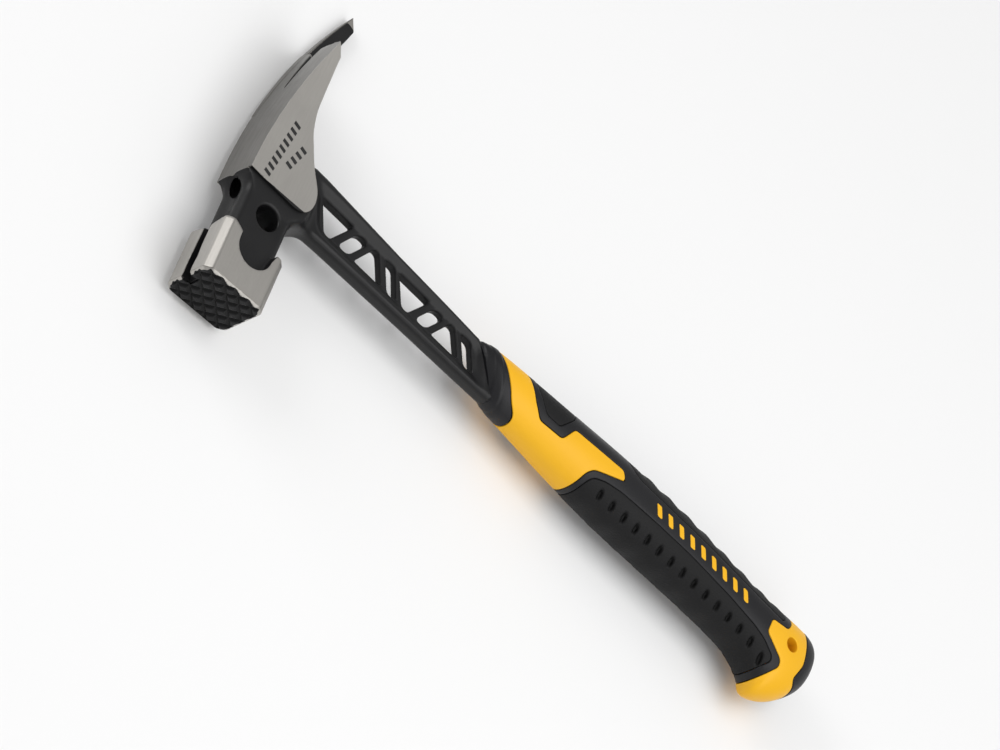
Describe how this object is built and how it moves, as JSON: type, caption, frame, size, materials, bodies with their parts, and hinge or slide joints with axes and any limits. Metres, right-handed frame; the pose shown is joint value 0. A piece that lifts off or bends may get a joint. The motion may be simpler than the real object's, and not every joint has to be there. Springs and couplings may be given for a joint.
{
  "type": "roofing hammer",
  "caption": "One-piece forged roofer's hammer: square milled face, nail starter groove, claw with one long spike, windowed shank and two-colour moulded grip.",
  "frame": {"origin": "middle of the bottom of the bounding box of the hammer lying on its side", "axes": "+X up the handle to the head, +Y from the claw to the striking face, +Z out of the head's upper cheek"},
  "size_m": [0.3356, 0.166, 0.0324],
  "materials": {
    "forged_steel": "ground and clear-lacquered forging, brushed across the cheeks",
    "black_coating": "satin black coating on the neck and shank",
    "magnet_steel": "plated disc magnet",
    "yellow_core": "satin moulded plastic",
    "black_frame": "satin moulded elastomer",
    "soft_rubber": "matte soft rubber"
  },
  "bodies": {
    "root": {"forged_body": "forged_steel", "nail_magnet": "magnet_steel", "grip_core": "yellow_core", "front_collar": "black_frame", "grip_frame": "black_frame", "palm_pad": "soft_rubber", "spine_pad": "soft_rubber", "thumb_pad": "soft_rubber", "butt_bumper": "black_frame"}
  },
  "joints": []
}
